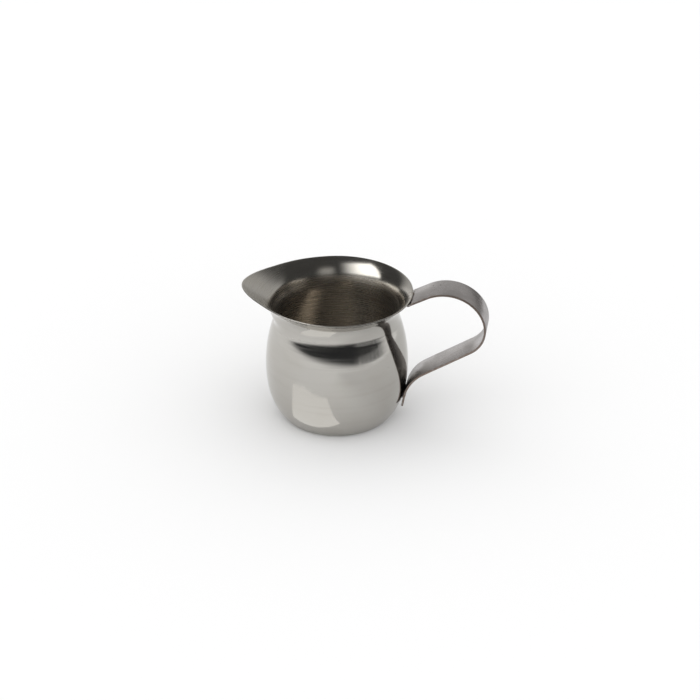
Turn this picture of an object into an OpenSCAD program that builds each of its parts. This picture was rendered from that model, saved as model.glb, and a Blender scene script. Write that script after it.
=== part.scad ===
// Small bell-shaped cream jug in stainless steel.
// The body is one pressed and spun shell with a flared lip and a pouring spout.
// The handle is one bent flat strap, held by two spot welds under the lip and two on the belly.
// Frame, in millimetres: Z is up and is the body's axis, the base stands on z = 0,
// the spout points to -X and the handle to +X.  The jug is symmetric about the XZ plane.

/* [Body] */
// Largest outside radius of the belly
belly_r = 27; // [26.5:0.25:27.5]
// Height of the largest radius
belly_z = 21; // [20.5:0.25:21.5]
// Upright bend radius of the side wall
side_bend_r = 56.5; // [55:0.5:58]
// Bend radius of the heel, between the side wall and the base
heel_bend_r = 24.5; // [23.5:0.25:25]
// Radius at which the heel would meet the base without its small corner
base_r = 20.7; // [20.2:0.1:21]
// Rounding of the corner between heel and base
corner_r = 0.8; // [0.5:0.1:1.2]
// Thickness of the sheet
sheet = 0.5; // [0.4:0.05:0.7]

/* [Lip] */
// Outside radius of the neck, where the body is narrowest
neck_r = 23.55; // [23.2:0.05:23.8]
// Upright bend radius of the flared lip
lip_bend_r = 10.15; // [9.8:0.05:10.6]
// Height of the underside of the rim
rim_z = 50.95; // [50:0.05:51.2]

/* [Spout] */
// Distance from the body's axis to the tip of the spout
spout_reach = 36.2; // [35.5:0.1:38]
// How much higher the tip is than the rest of the rim
spout_lift = 0.6; // [0:0.1:1.2]
// Slope of the spout's floor
floor_slope = 31.4; // [30:0.2:33]
// Rise of the trough's sides, in mm for each mm sideways to the power trough_power
side_rise = 0.0545; // [0.05:0.0005:0.06]
// Section of the trough: 1 is a straight V and 2 is a parabola
trough_power = 1.7; // [1.6:0.05:1.8]
// Rounding at the bottom of the trough
trough_round = 4; // [3:0.25:5]
// Angle each side of the spout over which the trough keeps its full depth
trough_angle = 34; // [32:1:36]
// How far the neck is pushed outwards below the spout
neck_push = 1.6; // [0.5:0.1:2]
// Blend between trough and neck, at the throat
throat_blend = 3; // [2:0.25:4]
// Blend between trough and lip, at the creases near the rim
crease_blend = 0.8; // [0.4:0.1:1.5]

/* [Handle] */
// Width of the strap
strap_w = 12; // [10:0.5:13]
// Thickness of the strap
strap_t = 0.8; // [0.6:0.05:1]
// Steepness of the strap where its hidden upper tab starts, close under the lip
tab_steepness = 48; // [47:1:56]
// Rounding of the two corners at the end of the upper tab
tab_corner_r = 3; // [1:0.25:4]
// Steepness of the strap where it leaves the lip
leave_steepness = 28; // [27:0.5:29]
// Straight length from the lip to the first bend
upper_run = 5.8; // [5.4:0.1:6.4]
// Radius of the shoulder, the wide bend at the top of the handle
shoulder_r = 15.25; // [15:0.05:15.5]
// Turn of the shoulder
shoulder_turn = 86.5; // [86:0.25:87]
// Radius of the outer side of the handle
outer_r = 13.1; // [12.9:0.05:13.3]
// Turn of the outer side
outer_turn = 33; // [32.5:0.25:33.5]
// Radius of the elbow, the tight bend below the fingers
elbow_r = 10.75; // [10.5:0.05:11]
// Turn of the elbow
elbow_turn = 57; // [56.5:0.25:57.5]
// Radius of the foot bend, which turns the strap down along the belly
foot_r = 15.3; // [14.8:0.1:15.8]
// Turn of the foot bend
foot_turn = 49; // [48.5:0.25:49.5]
// Straight length of the lower tab, below the foot bend
lower_tab = 3.8; // [3.5:0.1:5]

/* [Spot welds] */
// Diameter of a spot weld
weld_d = 3; // [2:0.25:4]
// Distance between the two welds of a pair
weld_spacing = 4.5; // [4:0.25:5.5]
// Steepness of the lip at the upper welds
upper_weld_steepness = 38; // [34:1:40]
// Distance of the lower welds from the end of the lower tab
lower_weld_up = 3.2; // [2.5:0.1:3.4]
// How far a weld sinks into each of the two sheets
weld_sink = 0.15; // [0.12:0.01:0.2]

/* [Hidden] */
body_steel = [0.76, 0.75, 0.72];
strap_steel = [0.66, 0.65, 0.65];
weld_steel = [0.55, 0.5, 0.45];
// Gap between the strap and the sheet it is welded to
weld_gap = 0.05;
// Turn between two facets of the strap's bends
bend_step = 1.5;
// The corner cuts start this far inside the strap's edges
skim = 0.02;

// Centres of the arcs of the wall's outline, as [distance from the axis, height].
// Each arc meets the next one without a kink.
side_c = [belly_r - side_bend_r, belly_z];
heel_c = meeting_point(side_c, side_bend_r - heel_bend_r, [base_r, 0], heel_bend_r);
corner_c = [heel_c.x + leg(heel_bend_r - corner_r, heel_c.y - corner_r), corner_r];
lip_x = neck_r + lip_bend_r;
lip_c = [lip_x, side_c.y + leg(side_bend_r + lip_bend_r, lip_x - side_c.x)];

// Heights at which one arc ends and the next begins
corner_top = heel_c.y - (heel_c.y - corner_r) * heel_bend_r / (heel_bend_r - corner_r);
heel_top = side_c.y + (heel_c.y - side_c.y) * side_bend_r / (side_bend_r - heel_bend_r);
side_top = side_c.y + (lip_c.y - side_c.y) * side_bend_r / (side_bend_r + lip_bend_r);
tip_z = rim_z + spout_lift;

// The trough acts up to this angle from the spout, and the rim's lift ends there
trough_end = 75;
// Height over which the push on the neck and the blend change
throat_height = 5;

// Rings of facets: corner, heel, side and lip; and facets around
corner_rings = 3;
heel_rings = 6;
side_rings = 9;
lip_rings = 16;
around = 64;
// How much closer the facets are at the spout, 0 for evenly spread
crowding = 0.35;
outer_steps = concat(
    [for (i = [0 : corner_rings]) i / corner_rings],
    [for (i = [1 : heel_rings]) 1 + i / heel_rings],
    [for (i = [1 : side_rings]) 2 + i / side_rings],
    [for (i = [1 : lip_rings]) 3 + i / lip_rings]
);
inner_steps = [for (i = [len(outer_steps) - 1 : -1 : corner_rings]) outer_steps[i]];
floor_r = base_r - 1.2;

// Other short side of a right triangle
function leg(long_side, side) = sqrt(max(0, long_side ^ 2 - side ^ 2));

// Point at distance ra from a and rb from b, to the left of the way from a to b
function meeting_point(a, ra, b, rb) =
    let (gap = norm(b - a), along = (ra ^ 2 - rb ^ 2 + gap ^ 2) / (2 * gap))
    a + (along * (b - a) + leg(ra, along) * [a.y - b.y, b.x - a.x]) / gap;

function mix(low, high, part) = low + (high - low) * part;

// 0 to 1 and back down softly: 1 in the spout's middle, 0 at trough_end
function spout_share(a) = cos(90 * min(1, abs(a) / trough_end)) ^ 2;

// Larger of two lengths, with the corner between them rounded over a width
function soft_max(p, q, width) = max(p, q) + max(0, width - abs(p - q)) ^ 2 / (4 * width);

// Outside radius of the body without its spout, at height z
function round_r(z) =
    z < corner_top ? corner_c.x + leg(corner_r, corner_r - z)
    : z < heel_top ? heel_c.x + leg(heel_bend_r, z - heel_c.y)
    : z < side_top ? side_c.x + leg(side_bend_r, z - side_c.y)
    : lip_c.x - leg(lip_bend_r, min(z - lip_c.y, 0.95 * lip_bend_r));

// Height of the trough's surface at radius r and angle a from the spout, and its rise with r
function trough_z(r, a) =
    tip_z + (r * cos(a) - spout_reach) * tan(floor_slope)
    + side_rise * (((r * sin(a)) ^ 2 + trough_round ^ 2) ^ (trough_power / 2) - trough_round ^ trough_power);
function trough_gain(r, a) =
    cos(a) * tan(floor_slope)
    + side_rise * trough_power * r * sin(a) ^ 2
    * ((r * sin(a)) ^ 2 + trough_round ^ 2) ^ (trough_power / 2 - 1);

// Radius of the trough's surface at height z, found by Newton steps
function trough_r(z, a, r = 30, steps = 6) =
    steps == 0 ? r : trough_r(z, a, r - (trough_z(r, a) - z) / trough_gain(r, a), steps - 1);

// The trough grows shallow outside its full-depth angle
function trough_fade(a) = 0.35 * (max(0, abs(a) - trough_angle) / 10) ^ 2;

// Share of the throat's height that z has climbed, softly from 0 to 1
function climb(z) = let (part = min(1, max(0, (z - side_top) / throat_height))) part ^ 2 * (3 - 2 * part);

// Outside radius of the body at height z and angle a from the spout
function wall_r(z, a) =
    z <= side_top || abs(a) > trough_end + 10 ? round_r(z)
    : soft_max(
        round_r(z) + neck_push * spout_share(a) * climb(z),
        trough_r(z, a) - trough_fade(a),
        mix(throat_blend, crease_blend, climb(z - throat_height / 2))
    );

function wall_point(z, a) = let (r = wall_r(z, a)) [-r * cos(a), -r * sin(a), z];

// Height of a ring: steps 0-1 are the corner, 1-2 the heel, 2-3 the side and 3-4 the lip
function ring_z(step, a) =
    step <= 1 ? corner_top * (1 - cos(90 * step))
    : step <= 2 ? mix(corner_top, heel_top, step - 1)
    : step <= 3 ? mix(heel_top, side_top, step - 2)
    : mix(side_top, rim_z + spout_lift * spout_share(a), step - 3);

// Point of the sheet's inner face, one thickness inwards from the outer face
function inner_point(z, a) =
    let (
        h = 0.02,
        along = wall_point(z, a + h) - wall_point(z, a - h),
        upward = wall_point(z + h, a) - wall_point(z - h, a),
        outward = cross(along, upward)
    )
    wall_point(z, a) - sheet * outward / norm(outward);

function facet_angle(i) = let (t = 360 * i / around - 180) t - crowding * 180 / PI * sin(t);

module jug_body() {
    angles = [for (i = [0 : around - 1]) facet_angle(i)];
    rings = concat(
        [for (s = outer_steps) [for (a = angles) wall_point(ring_z(s, a), a)]],
        [for (s = inner_steps) [for (a = angles) inner_point(ring_z(s, a), a)]],
        [[for (a = angles) [-floor_r * cos(a), -floor_r * sin(a), sheet]]]
    );
    last = len(rings) - 1;
    base_centre = len(rings) * around;
    floor_centre = base_centre + 1;
    points = concat([for (ring = rings) each ring], [[0, 0, 0], [0, 0, sheet]]);
    faces = concat(
        [for (i = [0 : around - 1]) [base_centre, i, (i + 1) % around]],
        [for (k = [0 : last - 1]) for (i = [0 : around - 1])
            let (p = k * around + i, q = k * around + (i + 1) % around)
            each [[p, p + around, q + around], [p, q + around, q]]],
        [for (i = [0 : around - 1])
            [floor_centre, last * around + (i + 1) % around, last * around + i]]
    );
    color(body_steel) polyhedron(points, faces, convexity = 10);
}

// The strap's path is a row of pieces: [length] is a straight run, and [radius, turn] is a bend,
// to the left if the turn is positive.  A pose on the path is [x, z, heading].
// Pose after the given part of a piece, from 0 to 1
function after(p, piece, part = 1) =
    len(piece) == 1
    ? [p.x + piece[0] * part * cos(p.z), p.y + piece[0] * part * sin(p.z), p.z]
    : let (r = sign(piece[1]) * piece[0], heading = p.z + piece[1] * part)
    [p.x + r * (sin(heading) - sin(p.z)), p.y - r * (cos(heading) - cos(p.z)), heading];

// Pose after the first few pieces of a path
function after_pieces(p, pieces, count) =
    count == 0 ? p : after(after_pieces(p, pieces, count - 1), pieces[count - 1]);

// Parts of a piece at which its outline has corners: the end of a run, steps along a bend
function outline_parts(piece) =
    len(piece) == 1 ? [1]
    : let (steps = ceil(abs(piece[1]) / bend_step)) [for (i = [1 : steps]) i / steps];

// Point beside the path, to its left if the distance is positive
function beside(p, distance) = [p.x - distance * sin(p.z), p.y + distance * cos(p.z)];

// The strap starts under the lip, follows it outwards, and loops round to the elbow
under_lip_r = lip_bend_r - weld_gap - strap_t / 2;
strap_start = [
    lip_c.x - under_lip_r * sin(tab_steepness),
    lip_c.y + under_lip_r * cos(tab_steepness),
    tab_steepness
];
loop_pieces = [
    [under_lip_r, leave_steepness - tab_steepness],
    [upper_run],
    [shoulder_r, -shoulder_turn],
    [outer_r, -outer_turn],
    [elbow_r, -elbow_turn]
];
elbow_end = after_pieces(strap_start, loop_pieces, len(loop_pieces));

// The straight run below the elbow is as long as it takes for the lower tab to lie on the heel:
// outward is across the tab, and tab_shift is how far the tab must still move that way.
foot = [foot_r, foot_turn];
tab_without_run = after(elbow_end, foot);
outward = [-sin(tab_without_run.z), cos(tab_without_run.z)];
run_way = [cos(elbow_end.z), sin(elbow_end.z)];
tab_shift = heel_bend_r + weld_gap + strap_t / 2 - ([tab_without_run.x, tab_without_run.y] - heel_c) * outward;
lower_run = [tab_shift / (run_way * outward)];
tab_start = after(after(elbow_end, lower_run), foot);
strap_pieces = concat(loop_pieces, [lower_run, foot, [lower_tab]]);

// Puts what is drawn at a pose of the path, along X with Z across the strap, in its place
module at_pose(p) {
    translate([p.x, 0, p.y]) rotate([90, 0, 0]) rotate([0, 0, p.z]) children();
}

// What the rounding takes off the end of a tab that starts at the origin and runs along X,
// with Z across the strap
module corner_cuts() {
    centre = [tab_corner_r, strap_w / 2 - tab_corner_r];
    spare = 1;
    for (side = [0, 1])
        mirror([0, 0, side])
            rotate([90, 0, 0])
                linear_extrude(height = 3 * strap_t, center = true)
                    difference() {
                        translate([-spare, centre.y])
                            square([tab_corner_r + spare, tab_corner_r + spare]);
                        translate(centre) circle(tab_corner_r + skim, $fn = 60);
                    }
}

module strap_handle() {
    path = [
        strap_start,
        for (k = [0 : len(strap_pieces) - 1])
            let (piece_start = after_pieces(strap_start, strap_pieces, k))
            for (part = outline_parts(strap_pieces[k])) after(piece_start, strap_pieces[k], part)
    ];
    left_edge = [for (p = path) beside(p, strap_t / 2)];
    right_edge = [for (i = [len(path) - 1 : -1 : 0]) beside(path[i], -strap_t / 2)];
    color(strap_steel)
        difference() {
            rotate([90, 0, 0])
                linear_extrude(height = strap_w, center = true)
                    polygon(concat(left_edge, right_edge));
            at_pose(strap_start) corner_cuts();
        }
}

// Two weld spots side by side on one face of the strap, side 1 for its left and -1 for its right
module weld_pair(pose, side) {
    round_body_gap = (weld_spacing / 2) ^ 2 / (2 * belly_r);
    color(weld_steel)
        at_pose(pose)
            for (across = [-1, 1])
                translate([0, side * (strap_t / 2 - weld_sink), across * weld_spacing / 2])
                    rotate([-90 * side, 0, 0])
                        cylinder(d = weld_d, h = weld_gap + round_body_gap + 2 * weld_sink, $fn = 48);
}

module upper_weld_spots() {
    under_lip = loop_pieces[0];
    part = (upper_weld_steepness - tab_steepness) / under_lip[1];
    weld_pair(after(strap_start, under_lip, part), 1);
}

module lower_weld_spots() {
    weld_pair(after(tab_start, [lower_tab - lower_weld_up]), -1);
}

jug_body();
strap_handle();
upper_weld_spots();
lower_weld_spots();
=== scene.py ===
import math

import bpy
import numpy as np
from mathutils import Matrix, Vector


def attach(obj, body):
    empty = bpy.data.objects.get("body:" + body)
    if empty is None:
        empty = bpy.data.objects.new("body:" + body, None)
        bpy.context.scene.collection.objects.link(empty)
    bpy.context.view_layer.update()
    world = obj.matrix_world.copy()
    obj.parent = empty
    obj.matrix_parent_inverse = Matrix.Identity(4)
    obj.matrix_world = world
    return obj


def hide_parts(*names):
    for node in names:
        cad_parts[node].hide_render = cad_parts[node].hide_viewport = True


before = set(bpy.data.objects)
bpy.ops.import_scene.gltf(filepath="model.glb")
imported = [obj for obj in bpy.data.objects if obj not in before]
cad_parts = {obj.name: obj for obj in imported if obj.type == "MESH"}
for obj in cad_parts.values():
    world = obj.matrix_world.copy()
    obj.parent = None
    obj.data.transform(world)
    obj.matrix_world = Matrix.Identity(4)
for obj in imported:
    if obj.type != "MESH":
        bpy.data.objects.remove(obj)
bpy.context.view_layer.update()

# ---------------------------------------------------------------------------------------------
# Jug body: one sheet of stainless steel, drawn and spun to a bell, its lip flared and a spout
# pressed into the lip.  Outside and lip are mirror polished, and the inside keeps the fine satin
# rings of the spinning.  Shapes are worked out in millimetres.
# ---------------------------------------------------------------------------------------------
MM = 0.001
BELLY_R, BELLY_Z = 27.0, 21.0
SIDE_BEND_R, HEEL_BEND_R, CORNER_R, LIP_BEND_R = 56.5, 24.5, 0.8, 10.15
BASE_R, NECK_R, RIM_Z = 20.7, 23.55, 50.95
SHEET = 0.5
SPOUT_REACH, SPOUT_LIFT, FLOOR_SLOPE = 36.2, 0.6, math.tan(math.radians(31.4))
SIDE_RISE, TROUGH_POWER, TROUGH_ROUND, TROUGH_ANGLE = 0.0545, 1.7, 4.0, 34.0
NECK_PUSH, THROAT_BLEND, CREASE_BLEND = 1.6, 3.0, 0.8
TROUGH_END, TROUGH_FADE, THROAT_HEIGHT = 75.0, 0.0035, 5.0
FLOOR_R = BASE_R - 1.2


def leg(long_side, side):
    """Other short side of a right triangle: sqrt(long_side^2 - side^2)."""
    return np.sqrt(np.maximum(0.0, long_side**2 - side**2))


def meeting_point(a, ra, b, rb):
    """Point at distance ra from a and rb from b, to the left of the way from a to b.  Its share
    along that way is (ra^2 - rb^2 + d^2) / 2d, where d is the distance from a to b."""
    a, b = np.array(a), np.array(b)
    way = (b - a) / np.linalg.norm(b - a)
    along = (ra**2 - rb**2 + np.linalg.norm(b - a) ** 2) / (2 * np.linalg.norm(b - a))
    return a + along * way + leg(ra, along) * np.array([-way[1], way[0]])


side_c = np.array([BELLY_R - SIDE_BEND_R, BELLY_Z])
heel_c = meeting_point(side_c, SIDE_BEND_R - HEEL_BEND_R, (BASE_R, 0.0), HEEL_BEND_R)
corner_c = np.array([heel_c[0] + leg(HEEL_BEND_R - CORNER_R, heel_c[1] - CORNER_R), CORNER_R])
lip_x = NECK_R + LIP_BEND_R
lip_c = np.array([lip_x, side_c[1] + leg(SIDE_BEND_R + LIP_BEND_R, lip_x - side_c[0])])
corner_top = heel_c[1] - (heel_c[1] - CORNER_R) * HEEL_BEND_R / (HEEL_BEND_R - CORNER_R)
heel_top = side_c[1] + (heel_c[1] - side_c[1]) * SIDE_BEND_R / (SIDE_BEND_R - HEEL_BEND_R)
side_top = side_c[1] + (lip_c[1] - side_c[1]) * SIDE_BEND_R / (SIDE_BEND_R + LIP_BEND_R)


def soft_step(low, high, value):
    """0 below low, 1 above high, and the S curve 3t^2 - 2t^3 between them."""
    part = np.clip((value - low) / (high - low), 0.0, 1.0)
    return part**2 * (3 - 2 * part)


def spout_share(a):
    """1 in the middle of the spout and 0 from TROUGH_END on: cos^2(90 a / TROUGH_END) in degrees."""
    return np.cos(np.pi / 2 * np.minimum(1.0, np.abs(a) / math.radians(TROUGH_END))) ** 2


def round_radius(z):
    """Outside radius without the spout: arcs of corner, heel, side and lip, end to end, each
    centre_x + sqrt(R^2 - (z - centre_z)^2), and with a minus for the lip, which bends outwards."""
    lip_rise = np.minimum(z - lip_c[1], 0.95 * LIP_BEND_R)
    return np.select(
        [z < corner_top, z < heel_top, z < side_top],
        [
            corner_c[0] + leg(CORNER_R, CORNER_R - z),
            heel_c[0] + leg(HEEL_BEND_R, z - heel_c[1]),
            side_c[0] + leg(SIDE_BEND_R, z - side_c[1]),
        ],
        lip_c[0] - leg(LIP_BEND_R, lip_rise),
    )


def trough_radius(z, a, first_guess=30.0, steps=6, least_gain=0.2):
    """Radius r where the spout's trough has height z, by Newton steps.  The trough is a rounded V
    carried along a straight slope: height = tip + (r cos a - reach) slope + rise (s^p - round^p),
    with s = sqrt((r sin a)^2 + round^2)."""
    r = np.full(np.broadcast(z, a).shape, first_guess)
    for _ in range(steps):
        across = (r * np.sin(a)) ** 2 + TROUGH_ROUND**2
        height = RIM_Z + SPOUT_LIFT + (r * np.cos(a) - SPOUT_REACH) * FLOOR_SLOPE
        height += SIDE_RISE * (across ** (TROUGH_POWER / 2) - TROUGH_ROUND**TROUGH_POWER)
        gain = np.cos(a) * FLOOR_SLOPE
        gain += SIDE_RISE * TROUGH_POWER * r * np.sin(a) ** 2 * across ** (TROUGH_POWER / 2 - 1)
        r = r - (height - z) / np.maximum(gain, least_gain)
    return r


def wall_radius(z, a):
    """Outside radius at height z and angle a from the spout: the larger of bell and trough,
    with the corner between them rounded widely at the throat and closely at the creases."""
    off_spout = np.abs(np.degrees(a))
    climb = soft_step(side_top, side_top + THROAT_HEIGHT, z)
    bell = round_radius(z) + NECK_PUSH * spout_share(a) * climb
    fade = TROUGH_FADE * np.maximum(0.0, off_spout - TROUGH_ANGLE) ** 2
    trough = trough_radius(z, np.clip(a, -1.5, 1.5)) - fade
    late = soft_step(side_top + THROAT_HEIGHT / 2, side_top + 1.5 * THROAT_HEIGHT, z)
    blend = THROAT_BLEND + (CREASE_BLEND - THROAT_BLEND) * late
    rounding = np.maximum(0.0, blend - np.abs(bell - trough)) ** 2 / (4 * blend)
    near_spout = (z > side_top) & (off_spout < TROUGH_END + 10)
    return np.where(near_spout, np.maximum(bell, trough) + rounding, round_radius(z))


def wall_point(z, a):
    """Point of the outer face; the angle starts at the spout, which points to -X."""
    r = wall_radius(z, a)
    return np.stack(np.broadcast_arrays(-r * np.cos(a), -r * np.sin(a), z), axis=-1)


def sheet_point(z, a, depth):
    """Point at a depth inside the outer face, along the face's normal by small differences."""
    h = 1e-3
    along = wall_point(z, a + h) - wall_point(z, a - h)
    upward = wall_point(z + 10 * h, a) - wall_point(z - 10 * h, a)
    outward = np.cross(along, upward)
    outward /= np.linalg.norm(outward, axis=-1, keepdims=True)
    return wall_point(z, a) - depth * outward


def ring_height(step, a):
    """Height of a ring: steps 0-1 are the corner, 1-2 the heel, 2-3 the side and 3-4 the lip."""
    rim = RIM_Z + SPOUT_LIFT * spout_share(a)
    corner = corner_top * (1 - np.cos(np.pi / 2 * np.minimum(step, 1.0)))
    wall = np.interp(step, [1.0, 2.0, 3.0], [corner_top, heel_top, side_top])
    lip = side_top + (rim - side_top) * (step - 3)
    return np.where(step <= 1, corner, np.where(step <= 3, wall, lip))


def mesh_piece(name, points, faces, smooth=True):
    """A mesh object from points in millimetres and faces of point numbers."""
    mesh = bpy.data.meshes.new(name)
    mesh.from_pydata((points * MM).tolist(), [], faces)
    mesh.polygons.foreach_set("use_smooth", np.full(len(mesh.polygons), smooth))
    mesh.update()
    piece = bpy.data.objects.new(name, mesh)
    bpy.context.scene.collection.objects.link(piece)
    return piece


def tube_faces(rings, around, closed_around=True):
    """Quads between neighbouring points of neighbouring rings, as rows of four numbers."""
    here = np.arange(around if closed_around else around - 1)
    beside = (here + 1) % around
    start = np.arange(rings - 1)[:, None] * around
    corners = [start + here, start + beside, start + beside + around, start + here + around]
    return np.stack(corners, axis=-1).reshape(-1, 4)


def flat_rings(radii, angles, z):
    """Level circles of the given radii at height z, numbered round as the wall's rings are."""
    r = np.array(radii)[:, None]
    return np.stack(np.broadcast_arrays(-r * np.cos(angles), -r * np.sin(angles), z), axis=-1)


# The rings run from the middle of the base out and up the outer face, over the rounded rim, and
# down the inner face to the middle of the floor.  They are closer together at the spout.
AROUND, CROWDING = 336, 0.35
RIM_STEP = 3.99
turn = np.linspace(-np.pi, np.pi, AROUND, endpoint=False)
angles = (turn - CROWDING * np.sin(turn))[None, :]
outer_steps = np.concatenate([
    np.linspace(0, 1, 6),
    np.linspace(1, 2, 20)[1:],
    np.linspace(2, 3, 26)[1:],
    np.linspace(3, RIM_STEP, 56)[1:],
])[:, None]
inner_steps = outer_steps[outer_steps[:, 0] >= 1][::-1]
rim_turn = np.linspace(0, np.pi, 7)[1:-1, None]
rim_steps = RIM_STEP + (4 - RIM_STEP) * np.sin(rim_turn)
rim_depth = (SHEET / 2 * (1 - np.cos(rim_turn)))[..., None]
base = flat_rings([3.0, 8.0, 15.0], angles, 0.0)
body_rings = np.concatenate([
    base,
    wall_point(ring_height(outer_steps, angles), angles + 0 * outer_steps),
    sheet_point(ring_height(rim_steps, angles), angles + 0 * rim_steps, rim_depth),
    sheet_point(ring_height(inner_steps, angles), angles + 0 * inner_steps, SHEET),
    flat_rings([FLOOR_R, 15.0, 8.0, 3.0], angles, SHEET),
])
ring_count = len(body_rings)
body_points = np.concatenate([body_rings.reshape(-1, 3), [[0, 0, 0], [0, 0, SHEET]]])
base_centre = ring_count * AROUND
floor_centre = base_centre + 1
here = np.arange(AROUND)
beside = (here + 1) % AROUND
last_ring = (ring_count - 1) * AROUND
body_faces = tube_faces(ring_count, AROUND).tolist()
body_faces += np.stack([0 * here + base_centre, beside, here], axis=-1).tolist()
floor_corners = [0 * here + floor_centre, last_ring + here, last_ring + beside]
body_faces += np.stack(floor_corners, axis=-1).tolist()
body = mesh_piece("polished_bell", body_points, body_faces)
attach(body, "root")
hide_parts("jug_body")


def new_material(name):
    """A material with a Principled surface; returns it with its node tree and its surface."""
    material = bpy.data.materials.new(name)
    material.use_nodes = True
    tree = material.node_tree
    return material, tree, tree.nodes["Principled BSDF"]


def new_group(name, inputs, outputs):
    """A shader node group from (name, kind, default) inputs and (name, kind) outputs; returns it
    with its input node and its output node."""
    group = bpy.data.node_groups.new(name, "ShaderNodeTree")
    for socket, kind, default in inputs:
        made = group.interface.new_socket(socket, in_out="INPUT", socket_type="NodeSocket" + kind)
        made.default_value = default
    for socket, kind in outputs:
        group.interface.new_socket(socket, in_out="OUTPUT", socket_type="NodeSocket" + kind)
    return group, group.nodes.new("NodeGroupInput"), group.nodes.new("NodeGroupOutput")


def place_group(tree, group, **values):
    """A group placed in a material, with values for its inputs; underscores stand for spaces."""
    placed = tree.nodes.new("ShaderNodeGroup")
    placed.node_tree = group
    for socket, value in values.items():
        placed.inputs[socket.replace("_", " ")].default_value = value
    return placed


def fed(tree, kind, *feeds, **settings):
    """A node of a kind: feeds, which are values or sockets, go to its first inputs, and None leaves
    an input as it is."""
    node = tree.nodes.new("ShaderNode" + kind)
    for name, value in settings.items():
        setattr(node, name, value)
    for socket, feed in zip(node.inputs, feeds):
        if feed is None:
            continue
        if isinstance(feed, bpy.types.NodeSocket):
            tree.links.new(feed, socket)
        else:
            socket.default_value = feed
    return node


def ranged(tree, feed, low, high, out_low=0.0, out_high=1.0, curve="SMOOTHSTEP"):
    """A value's range carried to another range, held at both ends."""
    node = fed(tree, "MapRange", feed, low, high, out_low, out_high, interpolation_type=curve)
    return node.outputs["Result"]


def calc(tree, operation, *feeds):
    """The result of a Math node."""
    return fed(tree, "Math", *feeds, operation=operation).outputs[0]


def plus(tree, value, feed, share):
    """A value with a share of a feed added to it."""
    return calc(tree, "MULTIPLY_ADD", feed, share, value)


def noise(tree, spot, scale, detail):
    """Noise read at a spot, from 0 to 1."""
    return fed(tree, "TexNoise", spot, None, scale, detail).outputs[0]


def blended(tree, share, low, high):
    """A share of the way from one colour to another."""
    node = tree.nodes.new("ShaderNodeMix")
    node.data_type = "RGBA"
    for socket, feed in ((0, share), (6, low), (7, high)):
        if isinstance(feed, bpy.types.NodeSocket):
            tree.links.new(feed, node.inputs[socket])
        else:
            node.inputs[socket].default_value = feed
    return node.outputs[2]


# Rings left by turning and polishing on the lathe: noise stretched around the jug's axis, read at
# the unit direction from the axis and at the distance walked up or out along the wall.
turning_rings, start, end = new_group(
    "turning_rings",
    [("Ring Spacing", "Float", 0.0004), ("Ring Breaks", "Float", 1.4)],
    [("Rings", "Float"), ("Bands", "Float")],
)
tree = turning_rings
split = fed(tree, "SeparateXYZ", fed(tree, "TexCoord").outputs["Object"])
flat = fed(tree, "CombineXYZ", split.outputs[0], split.outputs[1], 0.0).outputs[0]
radius = fed(tree, "VectorMath", flat, operation="LENGTH").outputs["Value"]
unit = fed(tree, "VectorMath", flat, operation="NORMALIZE").outputs[0]
around_part = fed(tree, "VectorMath", unit, operation="SCALE")
tree.links.new(start.outputs["Ring Breaks"], around_part.inputs["Scale"])
walked_up = calc(tree, "ADD", radius, split.outputs[2])
ring_number = calc(tree, "DIVIDE", walked_up, start.outputs["Ring Spacing"])
upward_part = fed(tree, "CombineXYZ", 0.0, 0.0, ring_number)
both_parts = fed(tree, "VectorMath", around_part.outputs[0], upward_part.outputs[0], operation="ADD")
spot = both_parts.outputs[0]
wide_spot = fed(tree, "VectorMath", spot, (0.5, 0.5, 0.3), operation="MULTIPLY").outputs[0]
tree.links.new(noise(tree, spot, 1.0, 1.0), end.inputs["Rings"])
tree.links.new(noise(tree, wide_spot, 1.0, 2.0), end.inputs["Bands"])

# Marks of use: soft smudges of handling, grime, and small pits that stand alone.
marks_of_use, start, end = new_group(
    "marks_of_use",
    [("Smudge Size", "Float", 0.012), ("Pit Spacing", "Float", 0.004), ("Pit Radius", "Float", 0.1)],
    [("Smudges", "Float"), ("Pits", "Float"), ("Grime", "Float")],
)
tree = marks_of_use
place = fed(tree, "TexCoord").outputs["Object"]
smudge = noise(tree, place, calc(tree, "DIVIDE", 1.0, start.outputs["Smudge Size"]), 4.0)
pit_scale = calc(tree, "DIVIDE", 1.0, start.outputs["Pit Spacing"])
pit = fed(tree, "TexVoronoi", place, None, pit_scale, feature="F1")
rare = ranged(tree, fed(tree, "SeparateColor", pit.outputs["Color"]).outputs[0], 0.72, 0.76)
from_pit = calc(tree, "DIVIDE", pit.outputs["Distance"], start.outputs["Pit Radius"])
dot = ranged(tree, from_pit, 0.5, 1.0, 1.0, 0.0)
tree.links.new(ranged(tree, smudge, 0.35, 0.7), end.inputs["Smudges"])
tree.links.new(calc(tree, "MULTIPLY", dot, rare), end.inputs["Pits"])
tree.links.new(noise(tree, place, 900.0, 6.0), end.inputs["Grime"])

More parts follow.
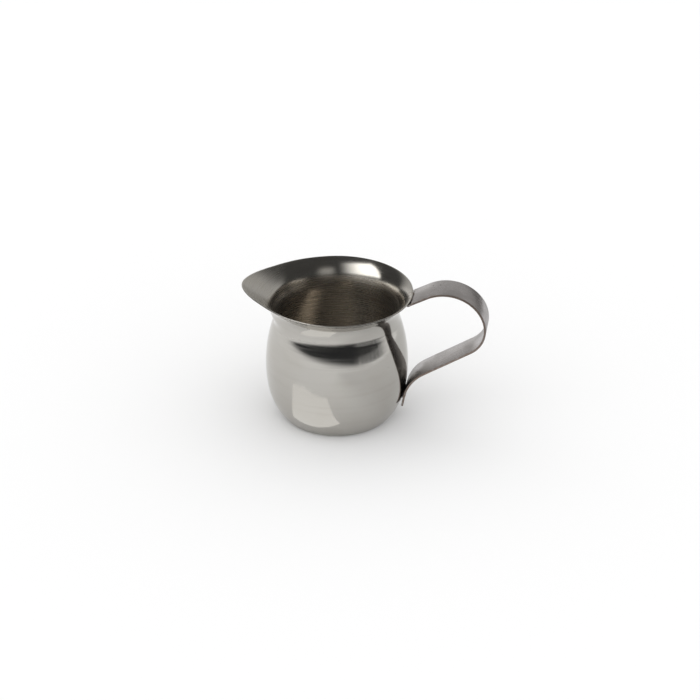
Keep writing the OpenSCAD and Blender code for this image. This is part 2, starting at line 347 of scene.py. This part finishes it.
# Heat of a pair of spot welds, seen from the far side of the sheet: a shallow dent in a brown ring.
WELD_D, WELD_SPACING = 3.0, 4.5
weld_heat, start, end = new_group(
    "weld_heat",
    [("Between", "Vector", (0.0, 0.0, 0.0)), ("Radius", "Float", 0.5 * WELD_D * MM)],
    [("Ring", "Float"), ("Dent", "Float")],
)
tree = weld_heat
place = fed(tree, "TexCoord").outputs["Object"]
split = fed(tree, "SeparateXYZ", place)
sideways = calc(tree, "ABSOLUTE", split.outputs[1])
one_side = fed(tree, "CombineXYZ", split.outputs[0], sideways, split.outputs[2]).outputs[0]
half_spacing = (0, WELD_SPACING / 2 * MM, 0)
centre = fed(tree, "VectorMath", start.outputs["Between"], half_spacing, operation="ADD").outputs[0]
gap = fed(tree, "VectorMath", one_side, centre, operation="DISTANCE").outputs["Value"]
wobble = calc(tree, "SUBTRACT", noise(tree, place, 700.0, 2.0), 0.5)
far = plus(tree, calc(tree, "DIVIDE", gap, start.outputs["Radius"]), wobble, 0.5)
rising = ranged(tree, far, 0.45, 0.8)
falling = ranged(tree, far, 0.85, 1.25, 1.0, 0.0)
tree.links.new(calc(tree, "MULTIPLY", rising, falling), end.inputs["Ring"])
tree.links.new(ranged(tree, far, 0.3, 1.0, 1.0, 0.0), end.inputs["Dent"])

STEEL, DEEP_STEEL = (0.5, 0.485, 0.455, 1), (0.54, 0.5, 0.445, 1)
SMUDGED_STEEL, WARM_STEEL = (0.47, 0.45, 0.415, 1), (0.43, 0.405, 0.36, 1)
RING_GREY, HEAT_BROWN, PIT_BROWN = (0.2, 0.18, 0.16, 1), (0.16, 0.1, 0.06, 1), (0.12, 0.1, 0.08, 1)


def lathe_steel(name, low_rough, ring_rough, ring_depth, line_tone, anisotropy, smudged):
    """Steel finished on the lathe: rings break the gloss and give a fine relief, smudges dull it and
    tint it, pits darken it, and the gloss is drawn out across the rings.  Returns the material, its
    tree and surface, and what finish_metal needs: colour, roughness and relief."""
    material, tree, surface = new_material(name)
    rings = place_group(tree, turning_rings, Ring_Spacing=0.0004, Ring_Breaks=1.4)
    marks = place_group(tree, marks_of_use, Pit_Spacing=0.0055, Pit_Radius=0.05)
    share = calc(tree, "MULTIPLY", marks.outputs["Smudges"], rings.outputs["Bands"])
    colour = blended(tree, share, STEEL, smudged)
    lines = ranged(tree, rings.outputs["Bands"], 0.5, 0.75, 0.0, line_tone)
    colour = blended(tree, lines, colour, RING_GREY)
    colour = blended(tree, calc(tree, "MULTIPLY", marks.outputs["Pits"], 0.4), colour, PIT_BROWN)
    rough = ranged(tree, rings.outputs["Rings"], 0.3, 0.7, low_rough, low_rough + ring_rough, "LINEAR")
    rough = plus(tree, rough, share, 0.5 * ring_rough)
    relief = calc(tree, "MULTIPLY", rings.outputs["Rings"], ring_depth)
    relief = plus(tree, relief, marks.outputs["Pits"], -0.00003)
    surface.inputs["Anisotropic"].default_value = anisotropy
    surface.inputs["Anisotropic Rotation"].default_value = 0.25
    round_axis = fed(tree, "Tangent", direction_type="RADIAL", axis="Z")
    tree.links.new(round_axis.outputs[0], surface.inputs["Tangent"])
    return material, tree, surface, colour, rough, relief


def finish_metal(tree, surface, colour, rough, relief):
    """Gives a surface its colour, its roughness and its relief in metres."""
    bump = tree.nodes.new("ShaderNodeBump")
    bump.inputs["Distance"].default_value = 1.0
    tree.links.new(relief, bump.inputs["Height"])
    tree.links.new(bump.outputs[0], surface.inputs["Normal"])
    tree.links.new(colour, surface.inputs["Base Color"])
    tree.links.new(rough, surface.inputs["Roughness"])
    surface.inputs["Metallic"].default_value = 1.0


material, tree, surface, colour, rough, relief = lathe_steel(
    "mirror_polished_steel",
    low_rough=0.06,
    ring_rough=0.09,
    ring_depth=0.0000025,
    line_tone=0.04,
    anisotropy=0.5,
    smudged=SMUDGED_STEEL,
)
finish_metal(tree, surface, colour, rough, relief)
body.data.materials.append(material)

# The inside is duller and browner below the lip, where the polishing wheel hardly reaches, and
# the spout's floor keeps the satin of the press.  The welds have heated it at two places.
material, tree, surface, colour, rough, relief = lathe_steel(
    "satin_spun_steel",
    low_rough=0.12,
    ring_rough=0.07,
    ring_depth=0.0000007,
    line_tone=0.1,
    anisotropy=0.8,
    smudged=WARM_STEEL,
)
spot = fed(tree, "SeparateXYZ", fed(tree, "TexCoord").outputs["Object"])
deep = ranged(tree, spot.outputs[2], 46.5 * MM, 44.5 * MM)
spout = ranged(tree, spot.outputs[0], -21 * MM, -26 * MM)
rough = plus(tree, rough, calc(tree, "MAXIMUM", deep, spout), 0.11)
colour = blended(tree, deep, colour, DEEP_STEEL)
UPPER_WELDS, LOWER_WELDS = (27.2, 0, 50.2), (24.9, 0, 8.6)
for between in (UPPER_WELDS, LOWER_WELDS):
    heat = place_group(tree, weld_heat, Between=[length * MM for length in between])
    colour = blended(tree, calc(tree, "MULTIPLY", heat.outputs["Ring"], 0.3), colour, HEAT_BROWN)
    relief = plus(tree, relief, heat.outputs["Dent"], -0.000006)
finish_metal(tree, surface, colour, rough, relief)
body.data.materials.append(material)

# The outer finish goes half-way over the rim, and the inner one from there to the floor's middle.
outer_rings = len(base) + len(outer_steps) + len(rim_steps) // 2
face_number = np.arange(len(body_faces))
inner_face = (face_number >= outer_rings * AROUND) & (face_number < last_ring)
inner_face[-AROUND:] = True
body.data.polygons.foreach_set("material_index", inner_face.astype(np.int32))

# ---------------------------------------------------------------------------------------------
# Strap handle: one flat steel strip, sheared to width and bent cold round formers.  Its upper tab
# lies under the lip and its foot lies on the heel of the body.
# ---------------------------------------------------------------------------------------------
STRAP_W, STRAP_T, WELD_GAP = 12.0, 0.8, 0.05
TAB_STEEPNESS, LEAVE_STEEPNESS = 48.0, 28.0
UPPER_RUN, LOWER_TAB, TAB_CORNER_R = 5.8, 3.8, 3.0
SHOULDER, OUTER_SIDE, ELBOW, FOOT = (15.25, -86.5), (13.1, -33.0), (10.75, -57.0), (15.3, 49.0)


def after(pose, piece, part=1.0):
    """Pose [x, z, heading] after part of a piece: a run is (length,), a bend is (radius, turn)."""
    x, z, heading = pose
    if len(piece) == 1:
        length = piece[0] * part
        return np.array([x + length * math.cos(heading), z + length * math.sin(heading), heading])
    turned = math.radians(piece[1]) * part
    r = math.copysign(piece[0], piece[1])
    return np.array([
        x + r * (math.sin(heading + turned) - math.sin(heading)),
        z - r * (math.cos(heading + turned) - math.cos(heading)),
        heading + turned,
    ])


# The strap follows the lip outwards from its hidden end, and loops round to the elbow.  The straight
# run below the elbow is as long as it takes for the lower tab to lie on the heel.
under_lip_r = LIP_BEND_R - WELD_GAP - STRAP_T / 2
on_heel_r = HEEL_BEND_R + WELD_GAP + STRAP_T / 2
steep = math.radians(TAB_STEEPNESS)
strap_start = np.array([*lip_c + under_lip_r * np.array([-math.sin(steep), math.cos(steep)]), steep])
under_lip = (under_lip_r, LEAVE_STEEPNESS - TAB_STEEPNESS)
strap_pieces = [under_lip, (UPPER_RUN,), SHOULDER, OUTER_SIDE, ELBOW]
elbow_end = strap_start
for piece in strap_pieces:
    elbow_end = after(elbow_end, piece)
foot_end = after(elbow_end, FOOT)
outward = np.array([-math.sin(foot_end[2]), math.cos(foot_end[2])])
run_way = np.array([math.cos(elbow_end[2]), math.sin(elbow_end[2])])
shift = on_heel_r - (foot_end[:2] - heel_c) @ outward
strap_pieces += [(shift / (run_way @ outward),), FOOT, (LOWER_TAB,)]

# Steps are even along a run or a bend, except under the lip, where they crowd at the rounded end.
BEND_STEP, RUN_STEPS, END_STEPS = 1.5, 12, 28
path = [strap_start]
for piece in strap_pieces:
    steps = RUN_STEPS if len(piece) == 1 else math.ceil(abs(piece[1]) / BEND_STEP)
    parts = np.linspace(0, 1, steps + 1)[1:]
    if piece is under_lip:
        parts = 1 - np.cos(np.pi / 2 * np.linspace(0, 1, END_STEPS + 1)[1:])
    piece_start = path[-1]
    path += [after(piece_start, piece, part) for part in parts]
path = np.array(path)

EDGE_ROUND = 0.12
corner_turn = np.linspace(0, np.pi / 2, 4)
quarter = np.stack([np.cos(corner_turn), np.sin(corner_turn)], axis=-1) * EDGE_ROUND
inset = np.array([STRAP_W / 2 - EDGE_ROUND, STRAP_T / 2 - EDGE_ROUND])
section = np.concatenate([
    quarter + inset,
    (quarter * [-1, 1])[::-1] + inset * [-1, 1],
    -quarter - inset,
    (quarter * [1, -1])[::-1] + inset * [1, -1],
])


def strap_points(path, section, half_width):
    """The strap's section carried along its path: across is Y, and thickness is beside the path.
    The section's sides move in or out, so that the strap is half_width wide each way there."""
    heading = path[:, 2, None]
    side = np.sign(section[None, :, 0]) * (half_width[:, None] - STRAP_W / 2)
    across, beside = section[None, :, 0] + side, section[None, :, 1]
    x = path[:, 0, None] - beside * np.sin(heading)
    z = path[:, 1, None] + beside * np.cos(heading)
    return np.stack(np.broadcast_arrays(x, across, z), axis=-1)


walked = np.concatenate([[0.0], np.cumsum(np.hypot(*np.diff(path[:, :2], axis=0).T))])
to_go = np.maximum(0.0, TAB_CORNER_R - walked)
half_width = STRAP_W / 2 - TAB_CORNER_R + leg(TAB_CORNER_R, to_go)
outline = strap_points(path, section, half_width).reshape(-1, 3)
count = len(section)
point_number = np.arange(len(outline))
ends = [point_number[:count].tolist(), point_number[-count:][::-1].tolist()]
strap_faces = tube_faces(len(path), count)[:, ::-1].tolist() + ends
strap = mesh_piece("strap", outline, strap_faces)
rounded_face = np.arange(len(strap_faces)) < len(strap_faces) - len(ends)
strap.data.polygons.foreach_set("use_smooth", rounded_face)
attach(strap, "root")
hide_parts("strap_handle")

# The strip's own coordinates, across and along in metres, and a mark for the painted shade on the
# inner side of the loop.
along_strip = strap.data.uv_layers.new(name="along_strip")
corner_point = np.empty(len(strap.data.loops), dtype=np.int32)
strap.data.loops.foreach_get("vertex_index", corner_point)
along = np.repeat(walked, count)[corner_point] * MM
across = outline[corner_point, 1] * MM
along_strip.data.foreach_set("uv", np.stack([across, along], axis=-1).ravel())
inner_side = strap.data.attributes.new("inner_side", "FLOAT", "POINT")
on_loop = 1 - soft_step(25.0, 40.0, walked)
inner_side.data.foreach_set("value", np.outer(on_loop, section[:, 1] < 0).ravel().astype(np.float32))

# Mill finish: rolling lines along the strip, scuffs and pits, painted shade in brown on the inner side
# of the loop, and sheared edges that have gone brown.
STRIP_GREY, STRIP_SMUDGE = (0.42, 0.405, 0.405, 1), (0.34, 0.325, 0.32, 1)
STRIP_MOTTLE, STRIP_PIT = (0.33, 0.3, 0.29, 1), (0.12, 0.1, 0.09, 1)
PAINTED_SHADE_BROWN, SHEARED_EDGE = (0.17, 0.14, 0.12, 1), (0.27, 0.22, 0.19, 1)
material, tree, surface = new_material("mill_finish_strip")
marks = place_group(tree, marks_of_use, Smudge_Size=0.006, Pit_Spacing=0.0028, Pit_Radius=0.13)
smudges, pits, grime = (marks.outputs[name] for name in ("Smudges", "Pits", "Grime"))
spot = fed(tree, "UVMap", uv_map="along_strip").outputs[0]
rolled_spot = fed(tree, "VectorMath", spot, (4500.0, 90.0, 0.0), operation="MULTIPLY").outputs[0]
rolled = noise(tree, rolled_spot, 1.0, 3.0)
from_middle = calc(tree, "ABSOLUTE", fed(tree, "SeparateXYZ", spot).outputs[0])
frayed = plus(tree, from_middle, calc(tree, "SUBTRACT", grime, 0.5), 0.0008)
edge = ranged(tree, frayed, 5.7 * MM, 6.0 * MM)
painted_inner_shade = fed(tree, "Attribute", attribute_name="inner_side").outputs["Fac"]
mottled = ranged(tree, grime, 0.35, 0.7)
colour = blended(tree, smudges, STRIP_GREY, STRIP_SMUDGE)
colour = blended(tree, calc(tree, "MULTIPLY", mottled, 0.35), colour, STRIP_MOTTLE)
colour = blended(tree, pits, colour, STRIP_PIT)
# Painted shade: the inner side of the loop is darkened towards brown, and this fades out further along
# the strap.
colour = blended(tree, calc(tree, "MULTIPLY", painted_inner_shade, 0.8), colour, PAINTED_SHADE_BROWN)
colour = blended(tree, edge, colour, SHEARED_EDGE)
rough = ranged(tree, rolled, 0.3, 0.7, 0.2, 0.32, "LINEAR")
rough = plus(tree, plus(tree, rough, smudges, 0.08), edge, 0.15)
relief = calc(tree, "MULTIPLY", rolled, 0.000006)
relief = plus(tree, plus(tree, relief, grime, 0.00002), pits, -0.00006)
finish_metal(tree, surface, colour, rough, relief)
strap.data.materials.append(material)

# ---------------------------------------------------------------------------------------------
# Spot welds: four nuggets of fused steel, where strap and sheet were pressed together and melted
# by a current.  Two hold the tab under the lip and two the foot on the heel, all tinted by heat.
# ---------------------------------------------------------------------------------------------
WELD_STRAW, WELD_BLUE = (0.3, 0.23, 0.16, 1), (0.14, 0.13, 0.16, 1)
material, tree, surface = new_material("weld_metal")
marks = place_group(tree, marks_of_use, Smudge_Size=0.0015, Pit_Spacing=0.0012, Pit_Radius=0.2)
smudges, pits, grime = (marks.outputs[name] for name in ("Smudges", "Pits", "Grime"))
colour = blended(tree, smudges, WELD_STRAW, WELD_BLUE)
rough = ranged(tree, grime, 0.3, 0.7, 0.4, 0.65)
relief = plus(tree, calc(tree, "MULTIPLY", grime, 0.00005), pits, -0.00005)
finish_metal(tree, surface, colour, rough, relief)
for name in ("upper_weld_spots", "lower_weld_spots"):
    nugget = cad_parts[name]
    nugget.data.materials.clear()
    nugget.data.materials.append(material)

# ---------------------------------------------------------------------------------------------
# Table, room and camera, which are not part of the jug.  Polished steel shows what stands round it,
# so cards stand where a set for small objects has its screens and windows, seen in reflections only.
# ---------------------------------------------------------------------------------------------
scene = bpy.context.scene


def towards(turn_degrees):
    """Level unit direction: 0 is -Y, towards the viewer, and 90 is +X."""
    turn = np.radians(turn_degrees)
    return np.stack([np.sin(turn), -np.cos(turn), 0 * turn], axis=-1)


def level_ring(name, inner_r, outer_r, height):
    """A flat ring round the jug's axis, facing up."""
    ring = towards(np.arange(0, 360, 6))
    points = ring[None] * np.array([inner_r, outer_r])[:, None, None] + [0, 0, height]
    faces = tube_faces(2, len(ring))[:, ::-1]
    return mesh_piece(name, points.reshape(-1, 3), faces.tolist(), smooth=False)


# The table shows from above only, and is open under the jug's foot, so that the base can be seen
# from below with light on it.
TABLE_R, TABLE_Z, UNDER_FOOT = 2000.0, -0.02, 0.3
table = level_ring("table_top", corner_c[0] - UNDER_FOOT, TABLE_R, TABLE_Z)
material, tree, surface = new_material("white_paper")
surface.inputs["Base Color"].default_value = (0.9, 0.9, 0.9, 1)
surface.inputs["Roughness"].default_value = 0.9
surface.inputs["Specular IOR Level"].default_value = 0.0
below = tree.nodes.new("ShaderNodeNewGeometry").outputs["Backfacing"]
clear = tree.nodes.new("ShaderNodeBsdfTransparent")
one_sided = fed(tree, "MixShader", below, surface.outputs[0], clear.outputs[0])
tree.links.new(one_sided.outputs[0], tree.nodes["Material Output"].inputs["Surface"])
table.data.materials.append(material)


def only_reflected(card):
    """Makes a card part of the studio that shows in reflections and nowhere else."""
    for rays in ("camera", "diffuse", "transmission", "volume_scatter", "shadow"):
        setattr(card, "visible_" + rays, False)


def glowing(name, colour, strength):
    """A material that gives light where its Mix Shader's factor is 1 and is clear where it is 0;
    returns it with its tree, that factor and the split Object coordinates."""
    material, tree, surface = new_material(name)
    tree.nodes.remove(surface)
    light = fed(tree, "Emission", colour, strength)
    clear = tree.nodes.new("ShaderNodeBsdfTransparent")
    partly = fed(tree, "MixShader", 1.0, clear.outputs[0], light.outputs[0])
    tree.links.new(partly.outputs[0], tree.nodes["Material Output"].inputs["Surface"])
    spot = fed(tree, "SeparateXYZ", fed(tree, "TexCoord").outputs["Object"])
    return material, tree, partly.inputs[0], spot.outputs


def product(tree, *shares):
    """All the shares multiplied together."""
    total = shares[0]
    for share in shares[1:]:
        total = calc(tree, "MULTIPLY", total, share)
    return total


def curved_card(name, radius, turns, heights, colour, strength, breaks=0.0, climb=0.0):
    """A card bent round the jug's axis.  Its turns and heights are each the start, the start and
    end of its full strength, and the end; breaks is how much pale stripes cut into its right side,
    and climb how much higher its edges are for each radian to the left."""
    turn = np.linspace(turns[0], turns[-1], 40)
    rows = np.array([heights[0], heights[-1]])[:, None, None] * [0, 0, 1]
    points = towards(turn)[None] * radius + rows
    faces = tube_faces(2, len(turn), closed_around=False)
    card = mesh_piece(name, points.reshape(-1, 3), faces.tolist())
    only_reflected(card)
    material, tree, factor, (x, y, z) = glowing(name, colour, strength)
    left, full_left, full_right, right = [math.radians(degrees) for degrees in turns]
    foot, full_foot, full_head, head = [height * MM for height in heights]
    side = calc(tree, "ARCTAN2", x, calc(tree, "MULTIPLY", y, -1.0))
    level = plus(tree, z, side, climb * MM)
    seen = product(
        tree,
        ranged(tree, side, left, full_left),
        ranged(tree, side, right, full_right),
        ranged(tree, level, foot, full_foot),
        ranged(tree, level, head, full_head),
    )
    stripes = fed(tree, "TexNoise", None, calc(tree, "MULTIPLY", side, 24.0), noise_dimensions="1D")
    gaps = product(tree, ranged(tree, stripes.outputs[0], 0.5, 0.56), ranged(tree, side, 0.5, 0.7))
    tree.links.new(product(tree, seen, plus(tree, 1.0, gaps, -breaks)), factor)
    card.data.materials.append(material)


# A low dark screen round the front, with a torn right side, and a dim wall far behind the handle.
curved_card(
    "dark_screen_card",
    radius=64.0,
    turns=(-88, -46, 62, 90),
    heights=(27.5, 35.5, 63, 64),
    colour=(0.9, 0.95, 1, 1),
    strength=0.03,
    breaks=0.7,
    climb=5.5,
)
curved_card(
    "far_wall_card",
    radius=300.0,
    turns=(122, 150, 170, 184),
    heights=(-40, 0, 60, 110),
    colour=(1, 0.95, 0.9, 1),
    strength=0.2,
)

# A large window to the front left, and a weak one to the front right.
curved_card(
    "window_card",
    radius=560.0,
    turns=(-77, -70, -48, 8),
    heights=(190, 225, 900, 1050),
    colour=(1, 0.99, 0.97, 1),
    strength=2.8,
)
curved_card(
    "side_pane_card",
    radius=560.0,
    turns=(6, 24, 28, 46),
    heights=(40, 260, 340, 700),
    colour=(1, 0.98, 0.95, 1),
    strength=0.5,
)

# Soft shade on the table round the jug, deeper to its right, and a bright patch in front of it.
SHADE_Z, PATCH_Z = 0.02, 0.05
shade = level_ring("table_shade_card", 21.5, 200.0, SHADE_Z)
only_reflected(shade)
material, tree, factor, place = glowing("table_shade", (1, 0.99, 0.97, 1), 0.35)
tree.links.new(ranged(tree, place[0], 5 * MM, 60 * MM, 0.06, 0.36), factor)
shade.data.materials.append(material)
patch_corners = [(-19, -20), (-56, -43), (-45, -59), (-4, -59), (6, -28)]
patch_points = np.array([(*corner, PATCH_Z) for corner in patch_corners])
patch = mesh_piece("light_patch_card", patch_points, [list(range(len(patch_corners)))], smooth=False)
only_reflected(patch)
patch.data.materials.append(glowing("patch_light", (1, 0.995, 0.98, 1), 1.08)[0])

# The room: even white light for the table, and for reflections a dim room with a pale far wall
# that is brighter low down and to the left, a dark ceiling, and a little light from below.
world = bpy.data.worlds.new("soft_room")
world.use_nodes = True
tree = world.node_tree
right, back, up = fed(tree, "SeparateXYZ", fed(tree, "TexCoord").outputs["Generated"]).outputs
far_wall = ranged(tree, plus(tree, back, right, 0.2), 0.2, 0.6)
low_part = ranged(tree, up, 0.3, 0.08)
left_part = ranged(tree, right, 0.45, -0.35)
wall_light = plus(tree, 0.52, low_part, plus(tree, -0.32, left_part, 0.65))
ceiling = ranged(tree, up, 0.64, 0.95, 1.0, 0.12)
from_below = ranged(tree, up, 0.0, -0.1, 0.06, 0.36)
room_light = calc(tree, "ADD", product(tree, far_wall, wall_light, ceiling), from_below)
room = fed(tree, "Background", (1, 0.985, 0.96, 1), room_light)
white = fed(tree, "Background", (1, 1, 1, 1), 1.12)
path_kind = tree.nodes.new("ShaderNodeLightPath")
either = fed(tree, "MixShader", path_kind.outputs["Is Glossy Ray"], white.outputs[0], room.outputs[0])
tree.links.new(either.outputs[0], tree.nodes["World Output"].inputs["Surface"])
scene.world = world
scene.view_settings.view_transform = "Standard"

CAMERA_DISTANCE, CAMERA_TURN, CAMERA_HEIGHT = 900.0, math.radians(8.69), math.radians(29.2)
CAMERA_LENS, CAMERA_SHIFT = 122.2, (0.0186, -0.0045)
target = Vector((0, 0, 27.0)) * MM
away = Vector((
    math.sin(CAMERA_TURN) * math.cos(CAMERA_HEIGHT),
    -math.cos(CAMERA_TURN) * math.cos(CAMERA_HEIGHT),
    math.sin(CAMERA_HEIGHT),
))
camera_data = bpy.data.cameras.new("camera")
camera_data.lens = CAMERA_LENS
camera_data.shift_x, camera_data.shift_y = CAMERA_SHIFT
camera = bpy.data.objects.new("camera", camera_data)
camera.location = target + away * CAMERA_DISTANCE * MM
camera.rotation_euler = (-away).to_track_quat("-Z", "Y").to_euler()
scene.collection.objects.link(camera)
scene.camera = camera
